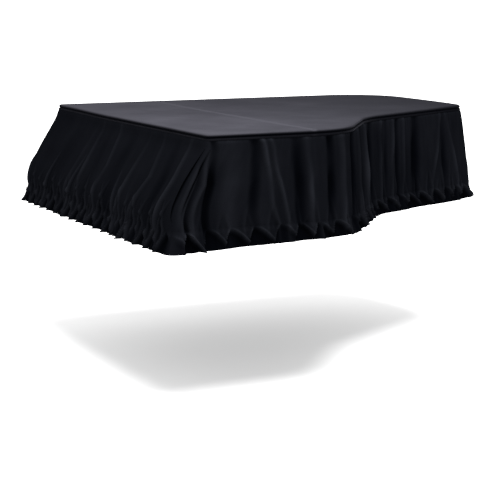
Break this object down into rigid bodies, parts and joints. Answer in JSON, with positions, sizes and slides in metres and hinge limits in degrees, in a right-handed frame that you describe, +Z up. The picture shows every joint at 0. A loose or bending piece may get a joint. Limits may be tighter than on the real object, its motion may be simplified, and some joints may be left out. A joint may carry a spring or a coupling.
{
  "type": "grand piano cover",
  "caption": "Fitted black cloth cover for a grand piano: flat lid top, edge band, gathered skirt, sloping keyboard apron and a pleated ruffle along the hem.",
  "frame": {"origin": "underside of the top's rear width on the cover's middle line, 0.74 m behind the lid's front edge, where the closed lid carries it", "axes": "+X to the treble side, +Y from the keyboard to the tail, +Z up; the keyboard apron faces -Y"},
  "size_m": [1.626, 1.9199, 0.414],
  "materials": {
    "top_cloth": "black twill with a dull grazing sheen, lying flat",
    "skirt_cloth": "soft black twill, gathered and pleated"
  },
  "bodies": {
    "root": {"top_front_panel": "top_cloth", "top_rear_panel": "top_cloth", "edge_band": "top_cloth", "front_apron": "skirt_cloth", "cheek_skirt": "skirt_cloth", "bent_side_skirt": "skirt_cloth", "tail_skirt": "skirt_cloth", "spine_skirt": "skirt_cloth", "front_ruffle": "skirt_cloth", "cheek_ruffle": "skirt_cloth", "bent_side_ruffle": "skirt_cloth", "tail_ruffle": "skirt_cloth", "spine_ruffle": "skirt_cloth"}
  },
  "joints": []
}
